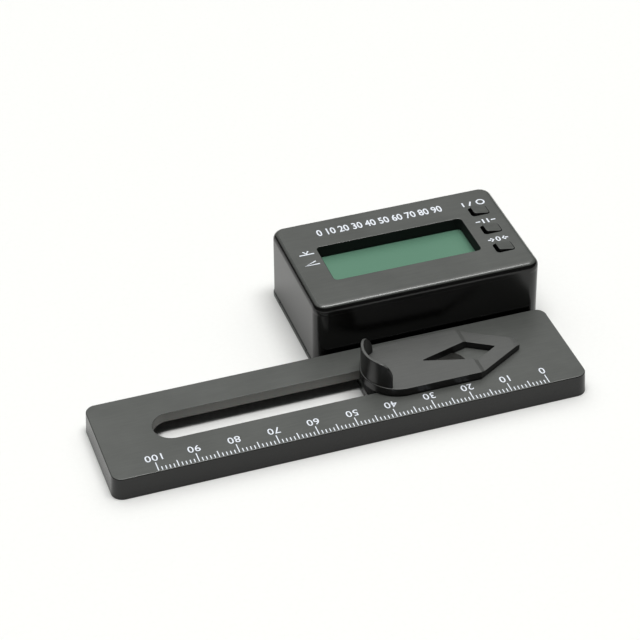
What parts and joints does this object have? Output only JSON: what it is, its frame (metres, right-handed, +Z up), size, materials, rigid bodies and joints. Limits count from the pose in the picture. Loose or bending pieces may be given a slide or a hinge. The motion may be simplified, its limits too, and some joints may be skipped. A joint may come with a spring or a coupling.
{
  "type": "digital pitch gauge",
  "caption": "Slotted scale plate with a sliding pointed slider and thumb lip, and a display case with keys fixed behind it.",
  "frame": {"origin": "on the table, under the middle of the whole object's box", "axes": "+X along the scale plate towards the scale's zero, +Y from the scale's edge towards the display case, +Z up"},
  "size_m": [0.1222, 0.0686, 0.0206],
  "materials": {
    "black_plastic": "satin moulded",
    "key_plastic": "satin moulded",
    "display_glass": "polished, grey-green polariser",
    "board_laminate": "green solder mask",
    "chip_resin": "matt moulded",
    "strip_rubber": "matt layered",
    "plated_steel": "nickel plated",
    "cell_jacket": "printed film"
  },
  "bodies": {
    "gauge": {"base_plate": "black_plastic", "case_body": "black_plastic", "top_cover": "black_plastic", "battery_1": "cell_jacket", "battery_2": "cell_jacket", "battery_spring_1": "plated_steel", "battery_spring_2": "plated_steel", "contact_bridge": "plated_steel", "contact_positive": "plated_steel", "contact_negative": "plated_steel", "circuit_board": "board_laminate", "controller_chip": "chip_resin", "tilt_sensor": "chip_resin", "lcd_panel": "display_glass", "lcd_frame": "chip_resin", "contact_strip_1": "strip_rubber", "contact_strip_2": "strip_rubber", "key_switch_1": "chip_resin", "key_switch_2": "chip_resin", "key_switch_3": "chip_resin", "case_screw_1": "plated_steel", "case_screw_2": "plated_steel", "case_screw_3": "plated_steel", "case_screw_4": "plated_steel", "plate_screw_1": "plated_steel", "plate_screw_2": "plated_steel"},
    "slider": {"slider_plate": "black_plastic", "slider_retainer": "black_plastic", "slider_screw_1": "plated_steel", "slider_screw_2": "plated_steel"},
    "power_key": {"power_button": "key_plastic"},
    "hold_key": {"hold_button": "key_plastic"},
    "zero_key": {"zero_button": "key_plastic"},
    "door": {"battery_door": "black_plastic"}
  },
  "joints": [
    {"name": "slider_travel", "type": "slide", "parent": "gauge", "child": "slider", "axis": [1, 0, 0], "range_m": [-0.0535, 0.0019]},
    {"name": "power_press", "type": "slide", "parent": "gauge", "child": "power_key", "axis": [0, 0, 1], "range_m": [-0.0004, 0], "stiffness_N_per_m": 500},
    {"name": "hold_press", "type": "slide", "parent": "gauge", "child": "hold_key", "axis": [0, 0, 1], "range_m": [-0.0004, 0], "stiffness_N_per_m": 500},
    {"name": "zero_press", "type": "slide", "parent": "gauge", "child": "zero_key", "axis": [0, 0, 1], "range_m": [-0.0004, 0], "stiffness_N_per_m": 500},
    {"name": "door_slide", "type": "slide", "parent": "gauge", "child": "door", "axis": [-1, 0, 0], "range_m": [0, 0.045]}
  ]
}
